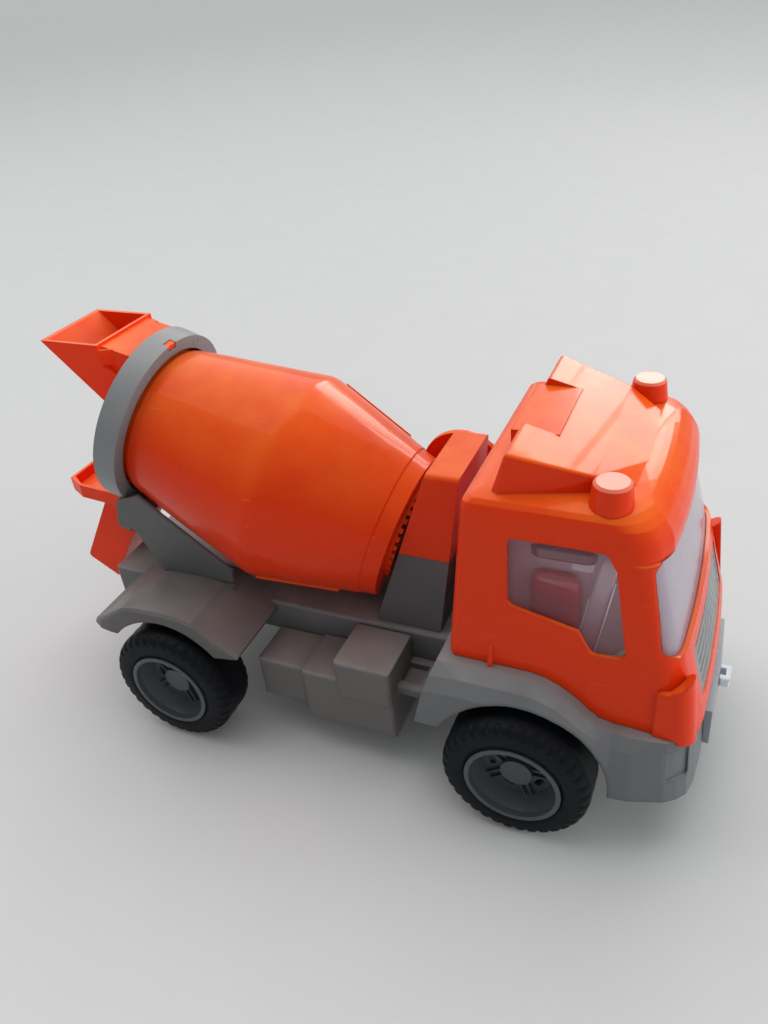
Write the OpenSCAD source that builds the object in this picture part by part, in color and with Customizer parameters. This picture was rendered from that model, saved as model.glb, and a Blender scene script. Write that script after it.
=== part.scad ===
// Toy concrete mixer truck: cab over the front wheels, sloping drum, hopper and chute behind.
// +X points to the nose, +Y to the left side and +Z up, with the tyres standing on Z = 0.
// Places along the truck are counted from the rear axle and then centred on the whole length.

/* [Layout] */
// Distance between the two axles
wheelbase = 205; // [195:1:215]
// Half width over the outer faces of the rims
half_track = 93; // [91:0.5:96]
// Thickness of the moulded walls
wall = 2.2; // [1.8:0.1:2.6]
// Gap between two seated mouldings
seat_gap = 0.2; // [0.1:0.05:0.3]
// Gap round a piece that turns
turn_gap = 0.8; // [0.6:0.1:1.2]

/* [Wheels] */
// Outer diameter of a tyre
tyre_d = 76; // [72:0.5:78]
// Width of a tyre
tyre_w = 30; // [26:1:32]
// Rounding of the tyre shoulders
shoulder_r = 5; // [3:0.5:7]
// Outer diameter of the rim
rim_d = 49; // [46:0.5:52]
// Width of the bare lip round the rim
rim_lip = 2.4; // [1.5:0.1:3]
// Depth of the dish behind the outer face
dish_depth = 13; // [11:0.5:15]
// Diameter of the hub cap
hub_d = 16.4; // [14:0.2:18]
// Depth of the hub cap behind the outer face
hub_depth = 8.5; // [7:0.5:10]
// Pairs of thin spokes on the dish
spoke_pairs = 5; // [4:1:6]
// Diameter of the steel axles
axle_d = 4; // [3.6:0.1:4.4]
// Radial running clearance on an axle
axle_clearance = 0.05; // [0.03:0.01:0.08]

/* [Deck] */
// Height of the deck's top face
deck_z = 71.5; // [70:0.5:73]
// Half width of the deck
deck_half_w = 36.5; // [35:0.5:38]
// Overhang of the deck behind the rear axle
deck_rear = 72; // [68:1:76]
// Height of the deck's side walls
deck_side_h = 20; // [17:1:23]
// Half width over the chassis rails and axle carriers
rail_half_w = 30; // [28:0.5:32]

/* [Rear fenders and drum stand] */
// Height of the flat top of the rear fenders
fender_z = 88; // [87:0.5:90]
// Half width over the rear fenders
fender_half_w = 85.5; // [84:0.5:87]
// Radius of the wheel arches
arch_r = 44.2; // [43:0.2:46]
// Height of the lower edge of the rear fenders
fender_low_z = 67; // [65:0.5:69]
// Half width over the two stand plates
stand_half_w = 46; // [45:0.5:47]

/* [Front fenders and bumper] */
// Height of the ledge under the cab door
ledge_z = 93; // [92:0.5:94]
// Half width over the ledge
ledge_half_w = 73; // [71.5:0.5:74.5]
// Half width over the front arches
arch_half_w = 84.4; // [83:0.2:86]
// Height of the bumper's top
bumper_z = 71.5; // [70:0.5:72]
// Height of the bumper's bottom edge
bumper_low_z = 34; // [32:1:37]
// Bumper corner's half width
bumper_half_w = 75.5; // [74:0.5:77]
// Distance from the front axle to the bumper's face at its middle
bumper_x = 82; // [80:0.5:83.5]
// How far the plate on the bumper's middle stands proud
bumper_step = 4.5; // [3:0.1:5]
// Reach of the tow hook in front of the plate
hook_reach = 5.5; // [5:0.1:8]

/* [Cab] */
// Half width of the cab at the door sill
cab_half_w = 68; // [67:0.5:69.5]
// Half width of the cab at the roof
roof_half_w = 63.5; // [62:0.5:65]
// Height of the roof in its middle
roof_z = 185.5; // [184:0.5:187]
// Radius of the brow above the windscreen
brow_r = 22; // [20:0.5:24]
// Place of the foot of the cab's back wall, counted from the front axle
cab_back_x = -39; // [-40:0.5:-38]
// Lean of the back wall from the upright in degrees
cab_back_lean = 4.6; // [3:0.2:6]
// Distance from the front axle to the foot of the cab's front at its middle
cab_front_x = 83.4; // [82:0.2:85]
// Lean of the front from the upright in degrees
cab_front_lean = 14.8; // [14:0.2:16]
// Bow of the cab's front in plan, as a radius
cab_bow_r = 700; // [600:10:800]
// Rounding of the front corners in plan
cab_corner_r = 12; // [10:0.5:14]
// Distance from the front axle to the lip of the brow at its middle
brow_x = 61.8; // [61:0.1:62.5]
// Bow of the brow in plan, as a radius
brow_bow_r = 400; // [340:10:460]

/* [Roof] */
// Height of the roof fairing's back edge
fairing_z = 202; // [198:0.5:204]
// Half width of the fairing's back edge
fairing_half_w = 53.7; // [52:0.5:55]
// Height of a beacon's top
beacon_z = 194.7; // [193:0.5:197]
// Distance of a beacon from the middle plane
beacon_y = 50.8; // [49:0.2:52]

/* [Drum] */
// Forward slope of the drum's axis in degrees
drum_tilt = 18.3; // [17.6:0.1:19]
// Height of the drum's axis above the rear axle
drum_axis_z = 153.8; // [153:0.2:156]
// Radius of the drum at its rear mouth
drum_mouth_r = 45; // [44:0.2:46]
// Largest radius of the drum
drum_belly_r = 61.5; // [60:0.2:62]
// Radius of the drum's front end
drum_front_r = 41.5; // [40:0.2:42.5]
// Wall of the drum
drum_wall = 2; // [1.6:0.1:2.4]
// Teeth of the crown gear on the drum's front end
crown_teeth = 36; // [30:2:40]
// Outer radius of the bearing ring
ring_r = 53.6; // [53:0.2:55]
// Length of the bearing ring along the axis
ring_len = 13.8; // [13:0.2:15]
// Radius of the drum's front journal
journal_r = 3; // [2.6:0.1:3.4]

/* [Gearbox] */
// Half width of the gearbox at its top
gearbox_half_w = 24.7; // [23.5:0.5:26]
// Height of the gearbox cover's top
gearbox_z = 167; // [165:0.5:169]
// Radius of the crank wheel
crank_r = 25; // [23:0.5:26]
// Distance of the crank wheel's inner face from the middle plane
crank_y = 44.5; // [44:0.5:48]

/* [Hopper and chute] */
// Half width of the hopper's mouth
hopper_half_w = 24.7; // [23:0.5:26]
// Height of the hopper's rim
hopper_z = 220; // [218:0.5:222]
// Length of the discharge chute
chute_len = 62; // [56:1:66]
// Half width of the discharge chute
chute_half_w = 16; // [14:0.5:18]
// Slope of the discharge chute from the upright in degrees
chute_lean = 32; // [28:1:36]

/* [Hidden] */
$fn = 96;

orange = [0.93, 0.27, 0.07];
grey = [0.46, 0.48, 0.48];
black = [0.07, 0.07, 0.08];
steel = [0.70, 0.71, 0.73];
clear = [0.85, 0.87, 0.88, 0.4];

axle_z = tyre_d / 2;
tyre_face = half_track - 0.5;
rim_back = tyre_face - tyre_w;
hook_tip_x = bumper_x + bumper_step + hook_reach;
rail_end = wheelbase + cab_front_x - 20;
deck_end = wheelbase + cab_back_x - 10;
trough_z = 119.5;
trough_depth = 9;
trough_half_w = 24;
chute_depth = 25;
chute_top = [-72.5, 0, trough_z - trough_depth - seat_gap - 7];
chute_tip_x = chute_top[0] - chute_len * sin(chute_lean) - chute_depth / 2 * cos(chute_lean);
origin_x = -(wheelbase + hook_tip_x + chute_tip_x) / 2;
bumper_plate_z = [38.5, 61];
bumper_plate_half_w = 36;
bumper_plate_bow_r = 600;

ring_front = -30.8;
ring_back = ring_front - ring_len;
drum_front = 125.7;
gearbox_back = 130.5;
gearbox_split_z = 118;
crank_x = 137.6;
crank_z = 128.4;
glass_t = 1.2;
brow_z = roof_z - brow_r;
deflector_x = 79.5;
cover_t = 2;
bed_half_w = 30;
door_corner_r = 5;
lamp_depth = 1;
mouth_r = 32;
collar_len = 8.7;
collar_r = drum_front_r + 0.27 * collar_len;
rib_h = 1.3;
seam_turn = 135;
cover_r = ring_r - wall - seat_gap;
funnel_low = [ring_back * cos(drum_tilt) + 5.14, drum_axis_z - ring_back * sin(drum_tilt) + 4.2];
clip_half_w = 3.2;
clip_t = 1.6;
clip_turn = 2.5;

// Moves a piece counted from the rear axle to the centred frame
module placed() translate([origin_x, 0, 0]) children();

// Moves a piece counted from the front axle to the centred frame
module placed_in_front() translate([origin_x + wheelbase, 0, 0]) children();

module both_sides() {
    children();
    mirror([0, 1, 0]) children();
}

// An outline in X and Z carried along Y from y0 to y1
module along_y(y0, y1) translate([0, y1, 0]) rotate([90, 0, 0]) linear_extrude(y1 - y0) children();

// An outline in Y and Z carried along X from x0 to x1
module along_x(x0, x1) translate([x0, 0, 0]) rotate([90, 0, 90]) linear_extrude(x1 - x0) children();

// A frame whose Z runs along the drum's axis, forward and down, and whose -X points up
module drum_frame() translate([0, 0, drum_axis_z]) rotate([0, 90 + drum_tilt, 0]) children();

// A rectangle with true arcs at its corners
module rounded_rect(low, high, r) {
    translate([low[0] + r, low[1]]) square([high[0] - low[0] - 2 * r, high[1] - low[1]]);
    translate([low[0], low[1] + r]) square([high[0] - low[0], high[1] - low[1] - 2 * r]);
    for (x = [low[0] + r, high[0] - r], y = [low[1] + r, high[1] - r]) translate([x, y]) circle(r);
}

// A box with its upright edges and its long edges rounded
module soft_box(low, high, r) {
    intersection() {
        translate([0, 0, low[2]]) linear_extrude(high[2] - low[2])
            rounded_rect([low[0], low[1]], [high[0], high[1]], r);
        along_x(low[0], high[0]) rounded_rect([low[1], low[2]], [high[1], high[2]], r);
    }
}

// A wheel's own frame: Z runs outwards along the axle
module wheel_frame(x, side) translate([x, 0, axle_z]) rotate([-90 * side, 0, 0]) children();

module tyre(x, side) color(black) placed() wheel_frame(x, side) rotate_extrude()
    rounded_tyre();

module rounded_tyre() {
    inner_r = rim_d / 2 + seat_gap;
    rounded_rect([inner_r, rim_back], [tyre_d / 2, tyre_face], shoulder_r);
    translate([inner_r, rim_back]) square([shoulder_r, tyre_w]);
}

module rim(x, side) color(grey) placed() wheel_frame(x, side) {
    rim_r = rim_d / 2;
    inner_r = rim_r - rim_lip;
    dish_z = half_track - dish_depth;
    hub_z = half_track - hub_depth;
    hub_r = hub_d / 2;
    difference() {
        union() {
            rotate_extrude() {
                translate([inner_r, rim_back]) square([rim_lip, half_track - rim_back]);
                translate([0, dish_z - wall]) square([inner_r + 0.1, wall]);
                polygon([[inner_r - 4, dish_z - 0.1], [inner_r + 0.1, dish_z - 0.1],
                         [inner_r + 0.1, half_track - 3]]);
                translate([0, rim_back]) square([hub_r - 2, hub_z - rim_back - 1]);
                translate([0, dish_z - 0.1]) square([hub_r, hub_z - dish_z + 0.1]);
            }
            for (pair = [0 : spoke_pairs - 1], spoke = [-1, 1])
                rotate([0, 0, pair * 360 / spoke_pairs]) translate([hub_r - 1, spoke * 2 - 0.6, dish_z - 0.1])
                    cube([inner_r - hub_r - 1, 1.2, 2.1]);
        }
        translate([0, 0, rim_back - 1]) cylinder(r = axle_d / 2 + axle_clearance, h = hub_z - rim_back - 1.5);
        for (slot = [0 : spoke_pairs - 1])
            rotate([0, 0, (slot + 0.5) * 360 / spoke_pairs]) translate([hub_r + 5.4, 0, dish_z - wall - 1])
                linear_extrude(wall + 2) oval_slot(1.8, 3.2);
    }
}

// A slot with round ends, its long way across the spoke
module oval_slot(r, half_len) {
    for (end = [-1, 1]) translate([0, end * (half_len - r)]) circle(r);
    translate([-r, -(half_len - r)]) square([2 * r, 2 * (half_len - r)]);
}

module axle(x) color(steel) placed() translate([x, 0, axle_z]) rotate([90, 0, 0])
    cylinder(d = axle_d, h = 2 * (half_track - hub_depth - 4), center = true);

// Rails, deck and axle carriers in one moulding, open below
module chassis() color(grey) placed() {
    rail_top = bumper_z - wall - seat_gap;
    rail_low = deck_z - deck_side_h;
    difference() {
        union() {
            soft_box([-deck_rear, -deck_half_w, rail_low - 4], [deck_end, deck_half_w, deck_z], 2);
            translate([deck_end - 4, -rail_half_w, rail_low])
                cube([rail_end - deck_end + 4, 2 * rail_half_w, rail_top - rail_low]);
        }
        translate([-deck_rear + wall, -deck_half_w + wall, rail_low - 5])
            cube([deck_end + deck_rear - 2 * wall, 2 * (deck_half_w - wall), deck_side_h + 5 - wall]);
        translate([deck_end + wall, -rail_half_w + wall, rail_low - 1])
            cube([rail_end - deck_end - 2 * wall, 2 * (rail_half_w - wall), rail_top - rail_low + 1 - wall]);
        translate([-deck_rear - 1, -deck_half_w - 1, rail_low - 5])
            cube([deck_end + deck_rear + 2, 2 * deck_half_w + 2, 5]);
        translate([deck_end - 24, -deck_half_w + 6, deck_z - wall - 1]) cube([8, 5, wall + 2]);
    }
    axle_carrier(0, deck_z - wall + 0.1);
    axle_carrier(wheelbase, rail_low + 4);
}

// Two webs under the rails with a sleeve towards each wheel, bored for the axle
module axle_carrier(x, top_z) {
    web_t = 4;
    sleeve_r = axle_d / 2 + 3;
    both_sides() difference() {
        union() {
            along_y(rail_half_w - wall - web_t, rail_half_w - wall + 0.1) {
                translate([x, axle_z]) circle(sleeve_r + 2);
                translate([x - sleeve_r - 2, axle_z]) square([2 * sleeve_r + 4, top_z - axle_z]);
            }
            translate([x, rail_half_w - wall, axle_z]) rotate([-90, 0, 0])
                cylinder(r = sleeve_r, h = rim_back - turn_gap - rail_half_w + wall);
        }
        translate([x, 0, axle_z]) rotate([-90, 0, 0])
            cylinder(r = axle_d / 2 + axle_clearance, h = half_track);
    }
}

// Box columns: start, end, outer half width, bottom, top
side_box_table = [[48, 80, half_track - 26.5, 26, 54],
                  [78, 133, half_track - 23, 21, 56],
                  [100, 133, half_track - 22, 44, 70]];

module side_boxes(side) color(grey) placed() mirror([0, side < 0 ? 1 : 0, 0]) {
    inner_y = deck_half_w + seat_gap;
    difference() {
        for (box = side_box_table)
            soft_box([box[0], inner_y, box[3]], [box[1], box[2], box[4]], 2);
        for (box = side_box_table)
            translate([box[0] + wall, inner_y + wall, box[3] - 1])
                cube([box[1] - box[0] - 2 * wall, box[2] - inner_y - 2 * wall, box[4] - box[3] + 1 - wall]);
    }
    difference() {
        soft_box([132, inner_y, 48], [148, half_track - 31, 54], 1.5);
        translate([131, inner_y + 6, 50]) cube([14, 14, 8]);
    }
}

// Columns: x, half width and height of the crease, half width and height of the lower edge
rear_fender_table = [[-53, 79, 69.5, 81, fender_low_z],
                     [-46, 81.5, 73.5, 84.5, fender_low_z],
                     [-38, 82, 79, fender_half_w, fender_low_z],
                     [-28, 82, 85, fender_half_w, fender_low_z],
                     [-18, 82, fender_z - 0.6, fender_half_w, fender_low_z],
                     [-4, 82, fender_z, fender_half_w, fender_low_z],
                     [10, 82, fender_z, fender_half_w, fender_low_z],
                     [20, 82, 86, fender_half_w, fender_low_z],
                     [33, 82, 77.5, fender_half_w, fender_low_z],
                     [47, 80, 68.5, 83, fender_low_z]];

// A slab at one place along the truck whose sides bow from a crease down to a lower edge
module body_slab(crease, middle, low) hull() for (side = [-1, 1], t = [0 : 0.25 : 1])
    let (p = (1 - t) * (1 - t) * crease + 2 * t * (1 - t) * middle + t * t * low)
        translate([p[0], side * p[1], p[2]]) cube(0.02, center = true);

module rear_fender_form(inset) for (i = [0 : len(rear_fender_table) - 2]) hull()
    for (row = [rear_fender_table[i], rear_fender_table[i + 1]])
        body_slab([row[0], row[1] - inset, row[2] - inset],
                  [row[0], row[3] - inset, row[2] - 1 - inset],
                  [row[0], row[3] - inset, row[4] - 2 * inset]);

// The arched tops and side skirts over the rear wheels, with the pods that carry the stand
module rear_fenders() color(grey) placed() {
    difference() {
        rear_fender_form(0);
        rear_fender_form(wall);
        translate([0, 0, axle_z]) rotate([90, 0, 0]) cylinder(r = arch_r, h = 2 * half_track, center = true);
        translate([-deck_rear, -bed_half_w, 0]) cube([200, 2 * bed_half_w, 200]);
        translate([-deck_rear, -deck_half_w - seat_gap, 0])
            cube([200, 2 * (deck_half_w + seat_gap), deck_z + seat_gap]);
    }
    both_sides() difference() {
        along_y(bed_half_w, stand_half_w)
            polygon([[-44, deck_z + seat_gap], [-22, fender_z - 0.5], [-4, fender_z], [20, fender_z - 1.5],
                     [26, fender_z - 2], [26, deck_z + seat_gap]]);
        along_y(bed_half_w + wall, stand_half_w + 1)
            polygon([[-46, deck_z - 1], [-22, fender_z - wall - 0.5], [18, fender_z - wall - 1.5],
                     [24, deck_z - 1]]);
    }
}

// Two plates and a saddle that hold the bearing ring
module drum_stand() color(grey) placed() {
    foot_z = fender_z + seat_gap;
    difference() {
        union() {
            both_sides() along_y(stand_half_w - wall, stand_half_w)
                polygon([[-24, foot_z], [26, foot_z], [27, 97], [-28, 139], [-44, 133], [-48, 115],
                         [-36, 114]]);
            along_y(-stand_half_w + 0.1, stand_half_w - 0.1)
                polygon([[-44, 133], [-48, 115], [-40, 112], [-34, 128]]);
        }
        drum_frame() translate([0, 0, ring_back - 30])
            cylinder(r = ring_r + seat_gap, h = 30 + ring_len + turn_gap);
        drum_frame() rotate_extrude() drum_outline(turn_gap + 0.5);
    }
}

// Columns: x of the crease and of the sill, half width at the crease and the sill,
// height of the crease, of the shoulder and of the sill
front_body_table = [[-43, -53.5, ledge_half_w, 83.6, ledge_z, 82, 56],
                    [-27, -33, ledge_half_w, arch_half_w, ledge_z, 86, 56],
                    [2, 2, ledge_half_w, arch_half_w, ledge_z, 86.5, 56],
                    [10, 10, 73.2, arch_half_w, ledge_z - 1.5, 85, 56],
                    [17, 17, 73.6, arch_half_w, ledge_z - 4.5, 82, 56],
                    [24, 24.5, 74, arch_half_w, ledge_z - 9, 77, 52],
                    [31, 32, 74.5, arch_half_w - 0.4, ledge_z - 15, 71, 46],
                    [36, 38, 75, 83, 74.5, 66, 40],
                    [43, 44.5, 75, 81.2, 73, 62, bumper_low_z],
                    [53, 53, 75, 80.4, 72.6, 60, bumper_low_z],
                    [61, 61, 74, 78, 72, 58, bumper_low_z],
                    [67.5, 69.5, 72.5, bumper_half_w, bumper_z, 56, bumper_low_z],
                    [72, 75, 69.5, 71.6, bumper_z, 54, bumper_low_z],
                    [76, 79.2, 65, 66.7, bumper_z, 52, bumper_low_z],
                    [78.5, 81.5, 57, 58, bumper_z, 52, bumper_low_z],
                    [80.4, bumper_x + 1, 40, 40, bumper_z, 52, bumper_low_z]];

module front_body_form(inset) for (i = [0 : len(front_body_table) - 2]) hull()
    for (row = [front_body_table[i], front_body_table[i + 1]])
        let (in_x = row[0] > 70 ? inset : 0)
            body_slab([row[0] - in_x, row[2] - inset, row[4] - inset],
                      [(row[0] + row[1]) / 2 - in_x, row[3] + 3.5 * (row[3] - row[2]) / 11 - inset, row[5]],
                      [row[1] - in_x, row[3] - inset, row[6] - 2 * inset]);

// Both front fenders, the cab's floor and the bumper in one moulding, open below
module front_fenders() color(grey) placed_in_front() difference() {
    front_body_form(0);
    front_body_form(wall);
    translate([0, 0, axle_z]) rotate([90, 0, 0]) cylinder(r = arch_r, h = 2 * half_track, center = true);
    translate([-65, -rail_half_w - seat_gap, 0])
        cube([rail_end - wheelbase + seat_gap + 65, 2 * (rail_half_w + seat_gap), bumper_z - wall]);
    translate([-65, -deck_half_w - seat_gap, 0]) cube([26, 2 * (deck_half_w + seat_gap), deck_z + seat_gap]);
    difference() {
        both_sides() lamp_window();
        front_body_form(lamp_depth);
    }
}

// Outline of the lamp recess on the bumper's corner, square to the corner's face
module lamp_window() translate([74, 71.3, 57]) rotate([90, 0, 141]) linear_extrude(8, center = true)
    rounded_rect([-6.8, -9], [6.8, 9], 2);

// The plate on the bumper's middle, bowed like the bumper
module bumper_plate() color(grey) placed_in_front() difference() {
    face_x = bumper_x + bumper_step;
    plate_h = bumper_plate_z[1] - bumper_plate_z[0];
    intersection() {
        translate([face_x - bumper_plate_bow_r, 0, bumper_plate_z[0]])
            cylinder(r1 = bumper_plate_bow_r + 0.7, r2 = bumper_plate_bow_r, h = plate_h);
        translate([bumper_x - 5, -bumper_plate_half_w, bumper_plate_z[0]])
            cube([20, 2 * bumper_plate_half_w, plate_h]);
    }
    front_body_form(-seat_gap);
}

module tow_hook() color(grey) placed_in_front() {
    hook_z = [50, 55.6];
    difference() {
        soft_box([bumper_x + bumper_step + seat_gap, -6, hook_z[0]], [hook_tip_x, 6, hook_z[1]], 1.2);
        translate([bumper_x + bumper_step - 1, -2.6, hook_z[0] - 1]) cube([4, 5.2, 10]);
    }
}

// Half width of the cab's side, place of its back and of its front's middle at a height
function cab_side(z) = cab_half_w + (ledge_z - z) * (cab_half_w - roof_half_w) / (brow_z + 10 - ledge_z);
function cab_back(z) = cab_back_x + (z - ledge_z) * tan(cab_back_lean);
function cab_front(z) = cab_front_x - (z - bumper_z) * tan(cab_front_lean);

// Front of the brow above its centre
function brow_front(z) = brow_x - brow_r + sqrt(brow_r * brow_r - (z - brow_z) * (z - brow_z));

// Levels columns: height, back, front, half width, corner radius in front, share of the wall
// taken upwards, bow; the brow's lip stands out over the windscreen's plane
cab_levels = concat(
    [for (z = [bumper_z - 12, brow_z - 1.2])
        [z, cab_back(z), cab_front(z), cab_side(z), cab_corner_r, 0, cab_bow_r]],
    [for (row = [[-0.8, 0, 0, 4, 0], [4.5, 0, 0, 4, 0], [9, 0, 0, 4, 0.2], [14, 0, 0.3, 3, 0.45],
                 [17, 0.5, 1, 4, 0.65], [19, 3, 3, 5, 0.8], [20.3, 8, 9.5, 7, 0.9], [21.3, 18, 22, 6, 1],
                 [22, 36, 42, 1, 1]])
        let (z = brow_z + row[0])
            [z, cab_back(z) + row[1], brow_front(z), cab_side(z) - row[2], cab_corner_r + row[3], row[4],
             brow_bow_r]]);

// Plan of one level: small corners behind, larger ones in front and a bowed face between them
module cab_plan(back, front, half_w, front_r, bow_r) hull() {
    for (side = [-1, 1]) {
        translate([back + 4, side * (half_w - 4)]) circle(4, $fn = 32);
        translate([front - half_w * half_w / (2 * bow_r) - front_r + 0.6, side * (half_w - front_r)])
            circle(front_r, $fn = 48);
    }
    for (y = [-0.75 : 0.25 : 0.75]) let (at = y * half_w)
        translate([front - at * at / (2 * bow_r) - 1, at]) circle(1, $fn = 16);
}

// The cab's outer form shrunk by inset
module cab_form(inset) for (i = [0 : len(cab_levels) - 2]) hull()
    for (row = [cab_levels[i], cab_levels[i + 1]])
        let (across = inset * (1 - row[5] * row[5]), up = inset * row[5])
            translate([0, 0, row[0] - up]) linear_extrude(0.01)
                cab_plan(row[1] + across, row[2] - across, row[3] - across, row[4] - across / 2, row[6]);

// What lies under the cab's lower edge: the ledge, its sweep over the arch and the bumper
module under_cab() along_y(-100, 100)
    polygon(concat([[-65, 0], [-65, ledge_z]], [for (row = front_body_table) [row[0], row[4]]],
                   [[115, bumper_z], [115, 0]]));

// The side window: its front part reaches lower; inner and outer corners are round
module side_window() offset(r = 4) offset(delta = -7) offset(r = 3)
    polygon([[-10, 166.5], [33.5, 166.5], [38, 158.5], [45.5, 112], [30, 111], [23.5, 122.5], [-9.5, 130]]);

module windscreen_opening() hull() for (side = [-1, 1]) {
    translate([side * 59.6, 121]) circle(6);
    translate([side * 56.9, brow_z - 6]) circle(5);
}

module cab_shell() color(orange) placed_in_front() {
    difference() {
        union() {
            difference() {
                cab_form(0);
                cab_form(wall);
            }
            roof_fairing(0);
            door_ribs();
        }
        translate([0, 0, seat_gap]) under_cab();
        back_corner();
        along_y(-100, 100) side_window();
        along_x(47, 115) windscreen_opening();
        along_x(57, 115) rounded_rect([-46, 79], [46, 107], 4);
    }
}

// A short rib at the foot of each door that stands on the ledge
module door_ribs() both_sides() hull() {
    translate([-18, cab_half_w - 1, ledge_z + 11]) cube([2.2, 1.4, 0.2]);
    translate([-18, cab_half_w - 1, ledge_z]) cube([2.2, 3.6, 0.2]);
}

// What rounds off the lower back corner of the cab in the side view
module back_corner() along_y(-100, 100) difference() {
    translate([cab_back_x - 6, ledge_z - 1]) square([6 + door_corner_r, 1 + door_corner_r]);
    translate([cab_back_x + door_corner_r + 0.4, ledge_z + door_corner_r]) circle(door_corner_r);
}

// The wedge on the roof: flat pad at the back between two broad cheeks, tapering forward
module roof_fairing(grow) {
    back_x = -14;
    pad_z = fairing_z - 3.6;
    low_z = roof_z - 8;
    difference() {
        union() {
            difference() {
                hull() for (side = [-1, 1]) {
                    translate([-20, side * 54.5, low_z]) cylinder(r = 1 + grow, h = 1);
                    translate([-17, side * 56, low_z]) cylinder(r = 1 + grow, h = 1);
                    translate([back_x + 1.5, side * (fairing_half_w - 2), fairing_z - 2])
                        sphere(2 + grow, $fn = 24);
                    translate([21, side * 45, low_z]) cylinder(r = 1 + grow, h = 1);
                    translate([23, side * 44.4, 190.8]) sphere(1.6 + grow, $fn = 24);
                    translate([38.4, side * 35.5, low_z]) cylinder(r = 1 + grow, h = roof_z - 0.6 - low_z);
                    translate([41, side * 14, low_z]) cylinder(r = 1 + grow, h = roof_z - 0.45 - low_z);
                }
                translate([0, 0, pad_z]) linear_extrude(20)
                    translate([-25, -24]) square([40, 48]);
            }
            translate([-19, -24.6, low_z]) cube([22.4, 49.2, pad_z - low_z]);
        }
        cab_form(wall);
    }
}

// Clear insert behind the windscreen and the side windows
module cab_glazing() color(clear) placed_in_front() {
    difference() {
        cab_form(wall + seat_gap);
        cab_form(wall + seat_gap + glass_t);
        cube([600, 300, 2 * 109.5], center = true);
        translate([-65, -100, 0]) cube([50, 200, 300]);
        translate([-105, -100, 168.5]) cube([300, 200, 60]);
    }
}

module grille() color(grey) placed_in_front() {
    intersection() {
        difference() {
            cab_form(0.6);
            cab_form(wall + 1);
            for (slat = [0 : 4]) along_x(57, 115) translate([-40, 83 + slat * 5]) square([80, 2.6]);
        }
        along_x(57, 115) rounded_rect([-46 + seat_gap, 79 + seat_gap], [46 - seat_gap, 107 - seat_gap], 4);
    }
}

// Curved deflectors round the cab's front corners, their lips rising towards the middle
module air_deflectors() color(orange) placed_in_front() both_sides() difference() {
    intersection() {
        along_x(60.5, 100) rounded_rect([60, 55], [80, 108], 3);
        along_y(50, 80) polygon([[60.5, 69.5], [95, 69.5], [95, 128], [74.5, 107.4], [71, 103.7], [66, 100],
                                 [62, 99.5], [60.5, 98]]);
        translate([deflector_x, 0, bumper_z]) rotate([0, -6.5, 0]) translate([-deflector_x, 0, -30])
            linear_extrude(100) rounded_rect([-25, -70.5], [deflector_x, 70.5], 8);
    }
    cab_form(-seat_gap);
    front_body_form(-seat_gap);
}

module beacons() color(orange) placed_in_front() difference() {
    both_sides() translate([31.7, beacon_y, beacon_z - 16]) {
        cylinder(r1 = 10.2, r2 = 8.2, h = 14.8);
        translate([0, 0, 14.8]) cylinder(r1 = 8.2, r2 = 7, h = 1.2);
    }
    cab_form(-seat_gap);
    roof_fairing(seat_gap);
}

// The gearbox's side outline between two heights
module gearbox_outline(low_z, high_z, inset) intersection() {
    polygon([[148.5 - inset, deck_z], [150 + (gearbox_z - 82) * 0.117 - inset, gearbox_z - inset],
             [60, gearbox_z - inset], [60, deck_z]]);
    translate([0, low_z]) square([220, high_z - low_z]);
    translate([0, drum_axis_z]) rotate(-drum_tilt) translate([gearbox_back + inset, -120]) square([120, 240]);
}

module gearbox_form(low_z, high_z, inset) intersection() {
    along_y(-60, 60) gearbox_outline(low_z, high_z, inset);
    along_x(80, 200) polygon([[-33 + inset, deck_z], [33 - inset, deck_z],
                              [gearbox_half_w - inset, gearbox_z + 0.1],
                              [-gearbox_half_w + inset, gearbox_z + 0.1]]);
}

module gearbox_base() color(grey) placed() difference() {
    gearbox_form(deck_z + seat_gap, gearbox_split_z, 0);
    gearbox_form(deck_z - 1, gearbox_split_z - wall, wall);
    drum_frame() cylinder(r = journal_r + axle_clearance, h = 150);
}

module gearbox_cover() color(orange) placed() difference() {
    intersection() {
        gearbox_form(gearbox_split_z + seat_gap, gearbox_z, 0);
        along_x(80, 200) offset(r = 3) offset(delta = -3) polygon([[-33, deck_z], [33, deck_z],
            [gearbox_half_w, gearbox_z], [-gearbox_half_w, gearbox_z]]);
    }
    gearbox_form(gearbox_split_z - 1, gearbox_z - wall, wall);
    translate([crank_x, 0, crank_z]) rotate([-90, 0, 0]) cylinder(r = journal_r + axle_clearance, h = 60);
}

// Hand wheel on the left that turns the drum; its knob points outwards
module crank_wheel() color(orange) placed() translate([crank_x, crank_y, crank_z]) rotate([-90, 0, 0]) {
    difference() {
        cylinder(r = crank_r, h = 4);
        translate([0, 0, 1.5]) cylinder(r = crank_r - wall, h = 4);
    }
    translate([0, 0, -crank_y + 20]) cylinder(r = journal_r, h = crank_y - 18);
    cylinder(r = 6, h = 4);
    translate([12, 12, 0.5]) cylinder(r1 = 3.6, r2 = 4.2, h = 13);
}

module drum_ring() color(grey) placed() drum_frame() difference() {
    rotate_extrude() {
        translate([ring_r - wall, ring_back]) square([wall, ring_len]);
        translate([drum_mouth_r + turn_gap, ring_front - wall])
            square([ring_r - drum_mouth_r - turn_gap, wall]);
    }
    rotate([0, 0, clip_turn]) translate([-ring_r - 1, -clip_half_w - seat_gap, ring_front - 4])
        cube([4.8, 2 * (clip_half_w + seat_gap), 6]);
}

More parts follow.
